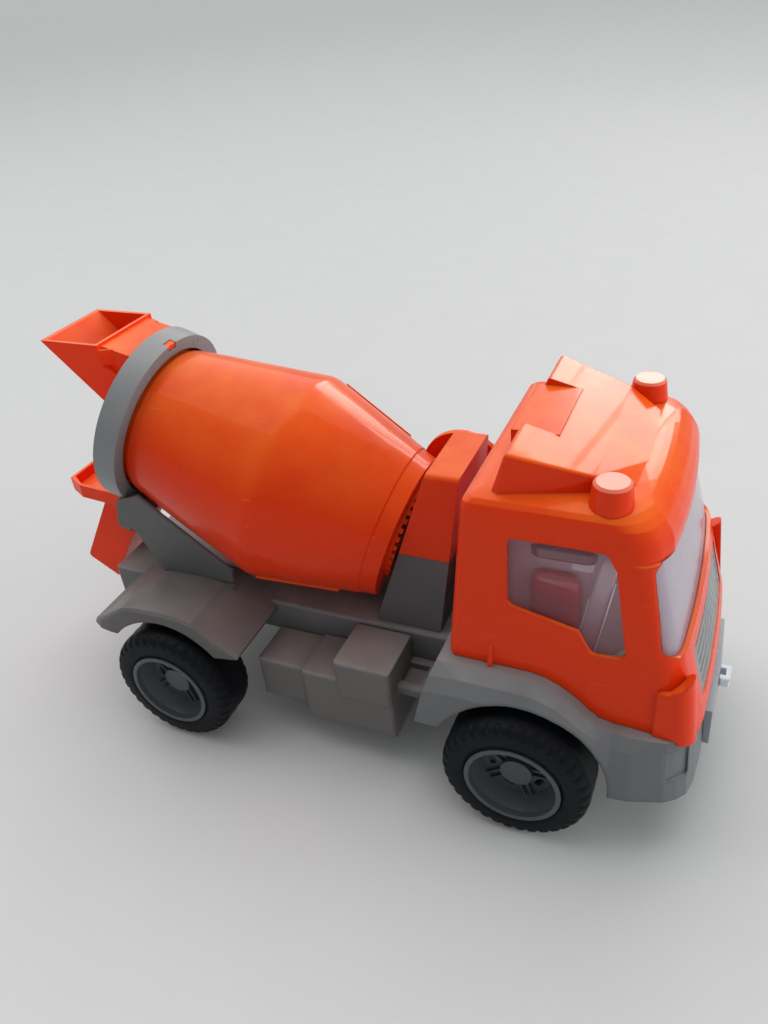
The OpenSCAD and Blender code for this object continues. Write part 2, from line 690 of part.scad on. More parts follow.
// The hopper's tongue that snaps into the ring's notch
module ring_clip() drum_frame() rotate([0, 0, clip_turn]) {
    translate([-cover_r, -clip_half_w, ring_back])
        cube([clip_t, 2 * clip_half_w, ring_len - wall - seat_gap]);
    translate([-ring_r + 0.4, -clip_half_w, ring_front - 3.6])
        cube([ring_r - cover_r, 2 * clip_half_w, 3.2]);
}

// Drum outline on its axis, radius against place, grown by grow; the belly is an arc
function belly_point(a) = [drum_belly_r - 14 + 14 * cos(a), 53.5 + 14 * sin(a)];
module drum_outline(grow) intersection() {
    offset(delta = grow) polygon(concat(
        [[-20, ring_back + 3], [drum_mouth_r - 2, ring_back + 3], [drum_mouth_r - 2, ring_front + 1],
         [drum_mouth_r, ring_front + 2], [drum_mouth_r + 1.5, -24]],
        [for (a = [-12 : 3 : 17]) belly_point(a)],
        [[collar_r + 0.7, drum_front - collar_len - 0.8], [collar_r, drum_front - collar_len],
         [drum_front_r, drum_front], [-20, drum_front]]));
    translate([0, -100]) square([100, 300]);
}

// Low ribs along the two seams where the drum's half shells meet, on the front cone
module seam_ribs() difference() {
    intersection() {
        rotate_extrude() drum_outline(rib_h);
        for (half = [0, 180]) rotate([0, 0, seam_turn + half]) translate([20, -0.7, 58]) cube([60, 1.4, 47]);
    }
    rotate_extrude() drum_outline(-drum_wall / 2);
}

module drum() color(orange) placed() drum_frame() {
    difference() {
        rotate_extrude() drum_outline(0);
        rotate_extrude() intersection() {
            drum_outline(-drum_wall);
            translate([0, ring_back - 1]) square([100, drum_front - ring_back - drum_wall]);
        }
        translate([0, 0, ring_back]) cylinder(r = drum_mouth_r - 2 - drum_wall, h = 20);
    }
    seam_ribs();
    translate([0, 0, drum_front - 0.1]) cylinder(r = journal_r, h = gearbox_back - drum_front + 7);
    translate([0, 0, drum_front - 0.1]) difference() {
        cylinder(r = 30, h = 3);
        translate([0, 0, -1]) cylinder(r = 24, h = 6);
        for (tooth = [0 : crown_teeth - 1]) rotate([0, 0, tooth * 360 / crown_teeth])
            translate([22, -1.2, 1.2]) cube([12, 2.4, 4]);
    }
}

// Funnel, its neck and the back cover in the ring, in one moulding
module hopper() color(orange) placed() {
    neck_half_w = hopper_half_w - 3.5;
    ring_clip();
    drum_frame() rotate_extrude() translate([cover_r - clip_t - wall, ring_back])
        square([clip_t + wall, cover_t]);
    both_sides() translate([0, 0, hopper_z - 12]) linear_extrude(9)
        polygon([[-46, neck_half_w - 1], [-46, hopper_half_w], [-45.4, hopper_half_w], [-38.5, neck_half_w],
                 [-38.5, neck_half_w - 1]]);
    difference() {
        union() {
            along_y(-hopper_half_w, hopper_half_w) funnel_outline(0);
            along_y(-neck_half_w, neck_half_w) neck_outline(0);
            drum_frame() translate([0, 0, ring_back]) cylinder(r = cover_r, h = cover_t);
        }
        along_y(-hopper_half_w + wall, hopper_half_w - wall) funnel_outline(wall);
        along_y(-neck_half_w + wall, neck_half_w - wall) neck_outline(wall);
        drum_frame() translate([0, 0, ring_back - 1]) cylinder(r = mouth_r, h = cover_t + 2);
        drum_frame() translate([0, 0, ring_back - seat_gap]) difference() {
            cylinder(r = ring_r + 4, h = 50);
            translate([0, 0, -1]) cylinder(r = cover_r, h = 1 + seat_gap + cover_t);
        }
        drum_frame() translate([mouth_r - 10, -trough_half_w, ring_back - 1])
            cube([16, 2 * trough_half_w, 20]);
    }
}

// Side outline of the funnel, its back sloping at the angle of the photo; the inner one is open above
module funnel_outline(inset) {
    back = funnel_low[0] - (hopper_z - funnel_low[1]);
    front = -45.5;
    lift = inset > 0 ? 1 : 0;
    polygon([[back + 1.41 * inset - lift, hopper_z + lift], [funnel_low[0] + 1.41 * inset, funnel_low[1]],
             [front + 12, funnel_low[1]], [front + 8, hopper_z - 20], [front - inset, hopper_z - 12],
             [front - inset, hopper_z + lift]]);
}

module neck_outline(inset) polygon([[-60, hopper_z - 1.5 - inset], [-46, hopper_z - 1.5 - inset],
                                    [-24, hopper_z - 7 - inset], [-36, funnel_low[1]],
                                    [-60, funnel_low[1] + 23]]);

// Tray, wide at the ring and narrowing to its lip
module tray(inset, depth) hull() {
    for (side = [-1, 1], p = [[-52, trough_half_w], [-98, trough_half_w - 4], [-110, trough_half_w - 10]])
        translate([p[0] + (p[0] < -100 ? inset : 0), side * (p[1] - inset), 0])
            cylinder(r = 0.5, h = depth, $fn = 16);
}

module discharge_trough() color(orange) placed() difference() {
    union() {
        difference() {
            translate([0, 0, trough_z - trough_depth]) tray(0, trough_depth);
            translate([0, 0, trough_z - trough_depth + wall]) tray(wall, trough_depth);
        }
        drum_frame() translate([ring_r - 12, -trough_half_w, ring_back - seat_gap - wall])
            cube([18, 2 * trough_half_w, wall]);
    }
    drum_frame() translate([0, 0, ring_back - seat_gap]) cylinder(r = 80, h = 100);
}

module discharge_chute() color(orange) placed() difference() {
    translate(chute_top) rotate([0, chute_lean, 0]) translate([-chute_depth / 2, -chute_half_w, -chute_len])
        difference() {
            along_y(0, 2 * chute_half_w)
                polygon(concat([for (a = [180 : 15 : 270]) [3 + 3 * cos(a), 3 + 3 * sin(a)]],
                               [[chute_depth, 0], [chute_depth, chute_len + 10], [0, chute_len + 10]]));
            translate([-1, wall, -1])
                cube([chute_depth - wall + 1, 2 * (chute_half_w - wall), chute_len + 12]);
        }
    translate([-140, -60, trough_z - trough_depth - seat_gap]) cube([120, 120, 40]);
}

chassis();
axle(wheelbase);  // front_axle
axle(0);  // rear_axle
rim(wheelbase, -1);  // rim_front_right
rim(wheelbase, 1);  // rim_front_left
rim(0, -1);  // rim_rear_right
rim(0, 1);  // rim_rear_left
tyre(wheelbase, -1);  // tyre_front_right
tyre(wheelbase, 1);  // tyre_front_left
tyre(0, -1);  // tyre_rear_right
tyre(0, 1);  // tyre_rear_left
side_boxes(-1);  // side_boxes_right
side_boxes(1);  // side_boxes_left
rear_fenders();
drum_stand();
front_fenders();
bumper_plate();
tow_hook();
cab_shell();
cab_glazing();
grille();
air_deflectors();
beacons();
gearbox_base();
gearbox_cover();
crank_wheel();
drum_ring();
drum();
hopper();
discharge_trough();
discharge_chute();
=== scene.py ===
import math
import bpy
import numpy as np
from mathutils import Matrix, Vector


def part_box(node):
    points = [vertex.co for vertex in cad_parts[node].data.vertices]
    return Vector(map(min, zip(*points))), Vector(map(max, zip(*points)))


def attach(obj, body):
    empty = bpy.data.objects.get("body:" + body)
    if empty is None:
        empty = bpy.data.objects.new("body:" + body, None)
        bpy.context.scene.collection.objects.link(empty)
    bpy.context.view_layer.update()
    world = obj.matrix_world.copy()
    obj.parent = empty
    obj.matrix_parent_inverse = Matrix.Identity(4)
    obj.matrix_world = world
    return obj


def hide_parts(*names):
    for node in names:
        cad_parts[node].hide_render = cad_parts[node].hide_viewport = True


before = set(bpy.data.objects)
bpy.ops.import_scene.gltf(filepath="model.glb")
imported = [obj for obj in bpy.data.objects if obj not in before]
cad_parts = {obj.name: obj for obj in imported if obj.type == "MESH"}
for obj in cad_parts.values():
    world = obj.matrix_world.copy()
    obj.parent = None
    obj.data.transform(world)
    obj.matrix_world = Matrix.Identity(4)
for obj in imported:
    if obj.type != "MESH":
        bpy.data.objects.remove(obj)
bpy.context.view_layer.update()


# Chassis and deck: one open-backed moulding in grey plastic, with a satin skin whose upward
# faces are paler, part dust and part painted light. The rear deck carries the drum stand and
# the gearbox.
CHASSIS_GREY = (0.150, 0.148, 0.152)
CHASSIS_SHADE = (0.128, 0.126, 0.129)


def moulded_plastic(name, colour, shade, rough, grain, edge=0.0005, top_dust_and_light=(0.44, 0.41, 0.39),
                    top_film_share=0.5, edge_wear_and_highlight=0.12, gloss=0.4):
    """Moulded plastic: a cloudy drift from colour to shade, a roughness near rough that wanders
    with it, and a fine tool grain. A patchy paler film, part dust and part painted light, covers
    up to the given share of what faces up. Edges are shaded as if rounded to the radius edge,
    and are paler by the given share, part wear and part painted highlight."""
    material = bpy.data.materials.new(name)
    material.use_nodes = True
    nodes, links = material.node_tree.nodes, material.node_tree.links
    shader = nodes["Principled BSDF"]
    shader.inputs["Specular IOR Level"].default_value = gloss
    place = nodes.new("ShaderNodeTexCoord")
    cloud = nodes.new("ShaderNodeTexNoise")
    cloud.inputs["Scale"].default_value = 22.0
    cloud.inputs["Detail"].default_value = 4.0
    tint = nodes.new("ShaderNodeMix")
    tint.data_type = "RGBA"
    tint.inputs[6].default_value = (*colour, 1.0)
    tint.inputs[7].default_value = (*shade, 1.0)
    sheen = nodes.new("ShaderNodeMapRange")
    sheen.inputs["From Min"].default_value = 0.3
    sheen.inputs["From Max"].default_value = 0.7
    sheen.inputs["To Min"].default_value = rough - 0.06
    sheen.inputs["To Max"].default_value = rough + 0.06
    # Upward faces take a patchy paler film: part dust, part painted light on the tops.
    facing = nodes.new("ShaderNodeSeparateXYZ")
    upward = nodes.new("ShaderNodeMapRange")
    upward.inputs["From Min"].default_value = 0.25
    upward.inputs["From Max"].default_value = 0.95
    upward.inputs["To Max"].default_value = top_film_share
    patches = nodes.new("ShaderNodeTexNoise")
    patches.inputs["Scale"].default_value = 42.0
    patches.inputs["Detail"].default_value = 2.0
    patchy = nodes.new("ShaderNodeMath")
    patchy.operation = "MULTIPLY"
    dust_and_light_mix = nodes.new("ShaderNodeMix")
    dust_and_light_mix.data_type = "RGBA"
    dust_and_light_mix.inputs[7].default_value = (*top_dust_and_light, 1.0)
    fine = nodes.new("ShaderNodeTexNoise")
    fine.inputs["Scale"].default_value = 1400.0
    fine.inputs["Detail"].default_value = 2.0
    round_edge = nodes.new("ShaderNodeBevel")
    round_edge.samples = 4
    round_edge.inputs["Radius"].default_value = edge
    surface = nodes.new("ShaderNodeNewGeometry")
    turn = nodes.new("ShaderNodeVectorMath")
    turn.operation = "DOT_PRODUCT"
    # Edges turn paler: part wear, part a painted highlight along the rounded edges.
    worn_and_lit_edges = nodes.new("ShaderNodeMapRange")
    worn_and_lit_edges.inputs["From Min"].default_value = 0.97
    worn_and_lit_edges.inputs["From Max"].default_value = 0.80
    worn_and_lit_edges.inputs["To Max"].default_value = edge_wear_and_highlight
    paler = nodes.new("ShaderNodeMix")
    paler.data_type = "RGBA"
    paler.inputs[7].default_value = tuple(min(1.0, 2.2 * c + 0.06) for c in colour) + (1.0,)
    bump = nodes.new("ShaderNodeBump")
    bump.inputs["Strength"].default_value = grain
    bump.inputs["Distance"].default_value = 0.0002
    links.new(place.outputs["Object"], cloud.inputs["Vector"])
    links.new(place.outputs["Object"], patches.inputs["Vector"])
    links.new(place.outputs["Object"], fine.inputs["Vector"])
    links.new(place.outputs["Normal"], facing.inputs["Vector"])
    links.new(facing.outputs["Z"], upward.inputs["Value"])
    links.new(upward.outputs["Result"], patchy.inputs[0])
    links.new(patches.outputs["Fac"], patchy.inputs[1])
    links.new(patchy.outputs["Value"], dust_and_light_mix.inputs["Factor"])
    links.new(cloud.outputs["Fac"], tint.inputs["Factor"])
    links.new(tint.outputs[2], dust_and_light_mix.inputs[6])
    links.new(round_edge.outputs["Normal"], turn.inputs[0])
    links.new(surface.outputs["True Normal"], turn.inputs[1])
    links.new(turn.outputs["Value"], worn_and_lit_edges.inputs["Value"])
    links.new(worn_and_lit_edges.outputs["Result"], paler.inputs["Factor"])
    links.new(dust_and_light_mix.outputs[2], paler.inputs[6])
    links.new(paler.outputs[2], shader.inputs["Base Color"])
    links.new(cloud.outputs["Fac"], sheen.inputs["Value"])
    links.new(sheen.outputs["Result"], shader.inputs["Roughness"])
    links.new(fine.outputs["Fac"], bump.inputs["Height"])
    links.new(round_edge.outputs["Normal"], bump.inputs["Normal"])
    links.new(bump.outputs["Normal"], shader.inputs["Normal"])
    return material


def dress(node_name, material):
    """Gives a solid that comes from the CAD its finish."""
    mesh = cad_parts[node_name].data
    mesh.materials.clear()
    mesh.materials.append(material)


dress("chassis", moulded_plastic("chassis_grey", CHASSIS_GREY, CHASSIS_SHADE, 0.46, 0.25))

# Side boxes: stepped grey housings under the deck, of the same satin plastic, seen mostly
# from above. They are pushed on to the chassis from each side.
box_grey = moulded_plastic("side_box_grey", (0.150, 0.144, 0.138), (0.122, 0.115, 0.110),
                           0.50, 0.3, edge=0.0024)
for side in ("right", "left"):
    dress(f"side_boxes_{side}", box_grey)

# Rear fenders and drum stand: the arched covers over the rear wheels and the two plates that
# hold the bearing ring, in grey plastic. A brown film on the tops is part dust and part painted
# light, and the stand's paler edges are part wear and part painted highlight.
BROWN_DUST_AND_LIGHT = (0.27, 0.245, 0.24)
dress("rear_fenders", moulded_plastic("rear_fender_grey", (0.108, 0.101, 0.099),
                                      (0.088, 0.081, 0.079), 0.44, 0.3,
                                      top_dust_and_light=BROWN_DUST_AND_LIGHT, top_film_share=0.62))
dress("drum_stand", moulded_plastic("drum_stand_grey", (0.112, 0.111, 0.114), (0.094, 0.093, 0.096),
                                    0.44, 0.25, edge=0.0008, edge_wear_and_highlight=0.3))

# Front fenders, bumper plate and tow hook: grey plastic, the smoothest of the grey mouldings,
# screwed from below to the chassis. Plate and hook are painted paler, as painted light, for
# they face the daylight; the film on the tops is part dust and part painted light.
PALE_DUST_AND_LIGHT = (0.50, 0.52, 0.54)
dress("front_fenders", moulded_plastic("front_fender_grey", (0.143, 0.150, 0.158),
                                       (0.123, 0.129, 0.136), 0.40, 0.2,
                                       edge=0.0026, top_film_share=0.7, edge_wear_and_highlight=0.15))
dress("bumper_plate", moulded_plastic("bumper_plate_grey", (0.300, 0.325, 0.345),
                                      (0.250, 0.270, 0.288), 0.36, 0.2,
                                      edge=0.0010, top_dust_and_light=PALE_DUST_AND_LIGHT, edge_wear_and_highlight=0.3))
dress("tow_hook", moulded_plastic("tow_hook_grey", (0.88, 0.93, 0.98), (0.68, 0.73, 0.78),
                                  0.34, 0.15, edge_wear_and_highlight=0.3))

# Axles: drawn steel wire with a dull skin, pushed through the carriers under the chassis.
# Only short lengths of them show, between the carriers and the rims.
axle_steel = moulded_plastic("axle_steel", (0.42, 0.42, 0.43), (0.30, 0.30, 0.31),
                             0.34, 0.1, edge=0.0002)
axle_steel.node_tree.nodes["Principled BSDF"].inputs["Metallic"].default_value = 1.0
for name in ("front_axle", "rear_axle"):
    dress(name, axle_steel)

# Rims: grey plastic dishes with five pairs of thin ribs and a two-step hub cap, moulded in
# one and pushed on to the axle ends.
rim_grey = moulded_plastic("rim_grey", (0.074, 0.082, 0.086), (0.060, 0.068, 0.072),
                           0.36, 0.15, edge=0.0004, top_film_share=0.0, edge_wear_and_highlight=0.04)
WHEELS = ("front_right", "front_left", "rear_right", "rear_left")
for wheel in WHEELS:
    dress(f"rim_{wheel}", rim_grey)


# Tyres: soft black plastic rings snapped round the rims. The tread has two grooves round it
# and low shoulder blocks, and the side wall steps down to a smooth band beside the rim.
SECTION_POWER = 0.42       # how square the tyre's section is
RIM_SEAT = 0.0247          # radius at which the tyre sits on the rim
TREAD_BLOCKS = 34.0        # shoulder blocks round each side
LUG_DEPTH = 0.0007
GROOVE_DEPTH = 0.0008
GROOVE_AT = 0.30           # place and width of the grooves, as shares of half the tyre's width
GROOVE_WIDTH = 0.055
TYRE_GRID = (408, 61)      # points round the tyre, and points across its section


def step(edge_low, edge_high, value):
    """A smooth climb from 0 at edge_low to 1 at edge_high."""
    t = np.clip((value - edge_low) / (edge_high - edge_low), 0.0, 1.0)
    return t * t * (3.0 - 2.0 * t)


def tyre_surface(centre, outer_side, radius, half_width):
    """Points of a tyre: the section's outer half is a rounded box, y = sin(v)^p and r = cos(v)^p
    with p = SECTION_POWER, which turns once round the axle with u. Shoulder blocks and two grooves
    are pressed into it by smooth steps."""
    u = np.linspace(0.0, 2.0 * math.pi, TYRE_GRID[0], endpoint=False)[:, None]
    v = np.linspace(-1.0, 1.0, TYRE_GRID[1])[None, :]
    bend = math.pi / 2.0 * v
    wide = np.sign(np.sin(bend)) * np.abs(np.sin(bend)) ** SECTION_POWER
    tall = np.abs(np.cos(bend)) ** SECTION_POWER
    y = half_width * wide
    wall = radius - RIM_SEAT
    r = RIM_SEAT + wall * tall
    shoulder = step(0.62, 0.70, np.abs(y) / half_width) * step(0.62, 0.72, tall)
    block = step(-0.45, -0.15, np.sin(TREAD_BLOCKS * u + np.sign(y) * 0.8)) * step(-0.2, 0.0, tall)
    near_groove = np.exp(-((np.abs(y) / half_width - GROOVE_AT) / GROOVE_WIDTH) ** 2)
    groove = near_groove * step(0.8, 0.9, tall)
    lug_gap = shoulder * (1.0 - block)
    r = r - LUG_DEPTH * lug_gap - GROOVE_DEPTH * groove
    side_step = 0.012 * step(0.70, 0.60, (r - RIM_SEAT) / wall)
    y = y * (1.0 - side_step - 0.02 * lug_gap)
    x = centre[0] + r * np.cos(u)
    z = centre[2] + r * np.sin(u)
    return np.stack([x, centre[1] + outer_side * y + 0.0 * u, z], axis=-1)


def grid_piece(name, points, material, body, close_u=True, cap_v=False, flip=False):
    """A mesh object on a grid of points, which rides on the body. The last row is joined to the
    first where close_u is set, the last column to the first where cap_v is set, and flip turns the
    faces the other way round."""
    rows, columns = points.shape[:2]
    index = np.arange(rows * columns).reshape(rows, columns)
    if close_u:
        index = np.concatenate([index, index[:1]], axis=0)
    if cap_v:
        index = np.concatenate([index, index[:, :1]], axis=1)
    quads = np.stack([index[:-1, :-1], index[1:, :-1], index[1:, 1:], index[:-1, 1:]], axis=-1)
    quads = quads.reshape(-1, 4)
    if flip:
        quads = quads[:, ::-1]
    mesh = bpy.data.meshes.new(name)
    mesh.from_pydata(points.reshape(-1, 3), [], quads)
    mesh.polygons.foreach_set("use_smooth", np.ones(len(mesh.polygons), dtype=bool))
    mesh.materials.append(material)
    piece = bpy.data.objects.new(name, mesh)
    bpy.context.scene.collection.objects.link(piece)
    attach(piece, body)
    return piece


tyre_black = moulded_plastic("tyre_black", (0.0066, 0.0078, 0.0100), (0.0050, 0.0060, 0.0078),
                             0.46, 0.5, edge=0.0002, top_film_share=0.0, edge_wear_and_highlight=0.0, gloss=0.12)
for wheel in WHEELS:
    low, high = (np.array(corner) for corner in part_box(f"tyre_{wheel}"))
    side = 1.0 if wheel.endswith("left") else -1.0
    half = (high - low) / 2.0
    points = tyre_surface((low + high) / 2.0, side, half[0], half[1])
    tyre = grid_piece(f"tyre_{wheel}_tread", points, tyre_black, f"wheel_{wheel}", cap_v=True,
                      flip=side > 0)
    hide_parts(f"tyre_{wheel}")

# Drum: two glossy orange half shells joined along two seams, with a crown gear on the front
# end. It turns in the bearing ring and on the gearbox shaft.
ORANGE = (0.780, 0.040, 0.004)
ORANGE_SHADE = (0.74, 0.034, 0.003)


def glossy_orange(name, colour, shade, rough, scratch, coat=0.20, top_dust_and_light=(0.95, 0.24, 0.03),
                  edge=0.0008):
    """Glossy moulded orange: the cloudy plastic with a thin clear gloss of the weight coat over it,
    a paler orange film on what faces up, which is painted light, and, by the share scratch,
    short scuffs from a stretched noise."""
    material = moulded_plastic(name, colour, shade, rough, 0.06, edge=edge, top_dust_and_light=top_dust_and_light,
                               top_film_share=0.70, edge_wear_and_highlight=0.25, gloss=0.12)
    nodes, links = material.node_tree.nodes, material.node_tree.links
    shader = nodes["Principled BSDF"]
    shader.inputs["Specular Tint"].default_value = (1.0, 0.55, 0.30, 1.0)
    shader.inputs["Coat Weight"].default_value = coat
    shader.inputs["Coat Roughness"].default_value = 0.035
    base = shader.inputs["Base Color"].links[0].from_socket
    place = nodes.new("ShaderNodeTexCoord")
    turned = nodes.new("ShaderNodeMapping")
    turned.inputs["Rotation"].default_value = (0.3, 0.2, 0.9)
    turned.inputs["Scale"].default_value = (45.0, 1100.0, 320.0)
    marks = nodes.new("ShaderNodeTexNoise")
    marks.inputs["Scale"].default_value = 1.0
    marks.inputs["Detail"].default_value = 2.0
    pick = nodes.new("ShaderNodeMapRange")
    pick.inputs["From Min"].default_value = 0.70
    pick.inputs["From Max"].default_value = 0.76
    pick.inputs["To Max"].default_value = scratch
    scuffed = nodes.new("ShaderNodeMix")
    scuffed.data_type = "RGBA"
    scuffed.inputs[7].default_value = (0.95, 0.42, 0.24, 1.0)
    links.new(place.outputs["Object"], turned.inputs["Vector"])
    links.new(turned.outputs["Vector"], marks.inputs["Vector"])
    links.new(marks.outputs["Fac"], pick.inputs["Value"])
    links.new(pick.outputs["Result"], scuffed.inputs["Factor"])
    links.new(base, scuffed.inputs[6])
    links.new(scuffed.outputs[2], shader.inputs["Base Color"])
    return material


dress("drum", glossy_orange("drum_orange", ORANGE, ORANGE_SHADE, 0.30, 0.10))

# Bearing ring: a grey flanged band that the drum's mouth turns in, clipped to the stand. The
# pins that pushed it out of its mould left two small round marks on its front face.
DRUM_TILT = math.radians(18.3)
DRUM_AT = (-0.090522, 0.0, 0.1538)     # the drum's axis above the rear axle
RING_BACK = 0.0308                     # from there back along the axis to the ring's front face
MARK_OUT = 0.0497                      # from the axis to a mark's middle
MARK_RADIUS, MARK_HALF_WIDTH, MARK_HEIGHT = 0.0024, 0.00028, 0.00022
MARKS = (("right", -29.0), ("left", 26.0))
ring_grey = moulded_plastic("ring_grey", (0.220, 0.230, 0.234), (0.192, 0.199, 0.204), 0.38, 0.2)
dress("drum_ring", ring_grey)
ring_axis = np.array([math.cos(DRUM_TILT), 0.0, -math.sin(DRUM_TILT)])
ring_up = np.array([math.sin(DRUM_TILT), 0.0, math.cos(DRUM_TILT)])
ring_face = np.array(DRUM_AT) - RING_BACK * ring_axis


def bead_ring(centre, first, second, out, radius, half, height):
    """A low round bead on a flat face: centre + (radius + half cos v)(first cos u + second sin u)
    + height sin v out, with u once round the ring and v once round the bead."""
    u = np.linspace(0.0, 2.0 * math.pi, 40, endpoint=False)[:, None, None]
    v = np.linspace(0.0, 2.0 * math.pi, 10, endpoint=False)[None, :, None]
    reach = radius + half * np.cos(v)
    return centre + reach * (np.cos(u) * first + np.sin(u) * second) + height * np.sin(v) * out


for side, degrees in MARKS:
    turn = math.radians(degrees)
    spoke = ring_up * math.cos(turn) + np.array([0.0, math.sin(turn), 0.0])
    points = bead_ring(ring_face + MARK_OUT * spoke, spoke, np.cross(ring_axis, spoke), ring_axis,
                       MARK_RADIUS, MARK_HALF_WIDTH, MARK_HEIGHT)
    mark = grid_piece(f"ring_ejector_mark_{side}", points, ring_grey, "truck", cap_v=True)

# Hopper, discharge trough and chute: thin orange mouldings behind the ring, a little less
# glossy than the cab. The hopper clips into the ring, and the chute hangs from the trough.
# The paler orange film on their tops is painted light.
rear_orange = glossy_orange("rear_orange", (0.93, 0.042, 0.004), (0.88, 0.038, 0.003), 0.36, 0.08,
                            coat=0.10, top_dust_and_light=(0.95, 0.30, 0.08))
for name in ("hopper", "discharge_trough", "discharge_chute"):
    dress(name, rear_orange)

# Gearbox: a grey lower housing with an orange cover, and the hand wheel on its left that
# turns the drum through the crown gear.
dress("gearbox_base", moulded_plastic("gearbox_grey", (0.108, 0.103, 0.106), (0.090, 0.086, 0.088),
                                      0.50, 0.25))
gearbox_orange = glossy_orange("gearbox_orange", (0.78, 0.044, 0.006), (0.74, 0.040, 0.005),
                               0.42, 0.08, coat=0.14)
dress("gearbox_cover", gearbox_orange)
dress("crank_wheel", gearbox_orange)

# Cab: one glossy orange shell with open windows, its roof wedge, the corner deflectors and
# the two beacons, all of the same plastic with fine scuffs on the roof. The near-white film
# on the beacons' tops is a painted highlight.
CAB_SHADE = (0.74, 0.035, 0.003)
BEACON_TOP_HIGHLIGHT = (1.0, 0.60, 0.44)
cab_orange = glossy_orange("cab_orange", ORANGE, CAB_SHADE, 0.26, 0.06, edge=0.0016)
for name in ("cab_shell", "air_deflectors"):
    dress(name, cab_orange)
dress("beacons", glossy_orange("beacon_orange", ORANGE, CAB_SHADE, 0.30, 0.05, top_dust_and_light=BEACON_TOP_HIGHLIGHT))

# Grille: a grey strip of level bars under the windscreen, moulded by itself and pushed into
# the cab's front from inside.
dress("grille", moulded_plastic("grille_grey", (0.22, 0.235, 0.245), (0.17, 0.18, 0.19),
                                0.30, 0.15))

# Windows: one clear moulded insert behind the openings, smoky violet-grey and hazier where it
# faces forward, with the faint waves of the mould in its skin. It is pushed in from below, and
# has a seat, a band and a slanted post moulded into each side. Over these lie thin sheets of
# painted colour: painted shade on the seat and the band, painted highlights on and beside the post.
window_clear = bpy.data.materials.new("window_clear")
window_clear.use_nodes = True
glass_nodes, glass_links = window_clear.node_tree.nodes, window_clear.node_tree.links
glass = glass_nodes["Principled BSDF"]
glass.inputs["Roughness"].default_value = 0.10
glass.inputs["Specular IOR Level"].default_value = 0.9
pane_place = glass_nodes.new("ShaderNodeTexCoord")
pane_facing = glass_nodes.new("ShaderNodeSeparateXYZ")
haze = glass_nodes.new("ShaderNodeMapRange")
haze.inputs["From Min"].default_value = 0.25
haze.inputs["From Max"].default_value = 0.85
haze.inputs["To Min"].default_value = 0.08
haze.inputs["To Max"].default_value = 0.82
waves = glass_nodes.new("ShaderNodeTexNoise")
waves.inputs["Scale"].default_value = 90.0
wave_bump = glass_nodes.new("ShaderNodeBump")
wave_bump.inputs["Strength"].default_value = 0.12
wave_bump.inputs["Distance"].default_value = 0.0006
glass_links.new(pane_place.outputs["Object"], waves.inputs["Vector"])
glass_links.new(waves.outputs["Fac"], wave_bump.inputs["Height"])
glass_links.new(wave_bump.outputs["Normal"], glass.inputs["Normal"])
glass_links.new(pane_place.outputs["Normal"], pane_facing.inputs["Vector"])
glass_links.new(pane_facing.outputs["X"], haze.inputs["Value"])
glass_links.new(haze.outputs["Result"], glass.inputs["Alpha"])
smoke = glass_nodes.new("ShaderNodeMix")
smoke.data_type = "RGBA"
smoke.inputs[6].default_value = (0.62, 0.42, 0.50, 1.0)
smoke.inputs[7].default_value = (0.29, 0.26, 0.31, 1.0)
glass_links.new(haze.outputs["Result"], smoke.inputs["Factor"])
glass_links.new(smoke.outputs[2], glass.inputs["Base Color"])
dress("cab_glazing", window_clear)


def raised_panel(centre, half_x, half_z, height, lean, outward):
    """A raised panel with round corners and shoulders: over the square -1..1 the outline draws in
    by the shares 0.18 v^8 and 0.18 u^8, y rises by height (1 - |u|^6)^0.5 (1 - |v|^6)^0.5, and x
    leans with z by the share lean."""
    u = np.linspace(-1.0, 1.0, 41)[:, None]
    v = np.linspace(-1.0, 1.0, 41)[None, :]
    across_u = np.sqrt(np.clip(1.0 - np.abs(u) ** 6, 0.0, 1.0))
    across_v = np.sqrt(np.clip(1.0 - np.abs(v) ** 6, 0.0, 1.0))
    rise = height * across_u * across_v
    z = centre[2] + half_z * v * (1.0 - 0.18 * u ** 8)
    x = centre[0] + half_x * u * (1.0 - 0.18 * v ** 8) + lean * (z - centre[2])
    return np.stack([x, outward * (centre[1] + rise), z], axis=-1)


# Each form: its name, middle, half its width and height, how proud it stands, its lean, its
# colour, and how much of what lies behind it it covers.
PALE, NEAR_WHITE = (0.92, 0.84, 0.92), (1.0, 0.96, 1.0)
INSERT_FORMS = [
    ("wall", (0.1290, 0.0430, 0.1270), 0.0330, 0.0390, 0.0020, 0.08, (0.62, 0.42, 0.50), 0.62),
    # The seat's dark red and the band's near black are painted shade of the cab's orange inside.
    ("seat", (0.1232, 0.0462, 0.1215), 0.0125, 0.0178, 0.0040, 0.0, (0.42, 0.020, 0.022), 0.97),
    ("band", (0.1262, 0.0462, 0.1500), 0.0152, 0.0036, 0.0030, 0.0, (0.16, 0.020, 0.028), 0.92),
    # The glint and the post's near-white edge and line are painted highlights.
    ("glint", (0.1350, 0.0458, 0.1440), 0.0050, 0.0028, 0.0008, 0.1, PALE, 0.55),
    ("post", (0.1427, 0.0462, 0.1220), 0.0045, 0.0300, 0.0028, 0.165, (0.66, 0.56, 0.64), 0.80),
    ("post_edge_highlight", (0.1465, 0.0470, 0.1160), 0.0005, 0.0225, 0.0030, 0.170, NEAR_WHITE, 0.90),
    ("post_line_highlight", (0.1373, 0.0470, 0.1170), 0.0003, 0.0105, 0.0026, 0.160, NEAR_WHITE, 0.80)]
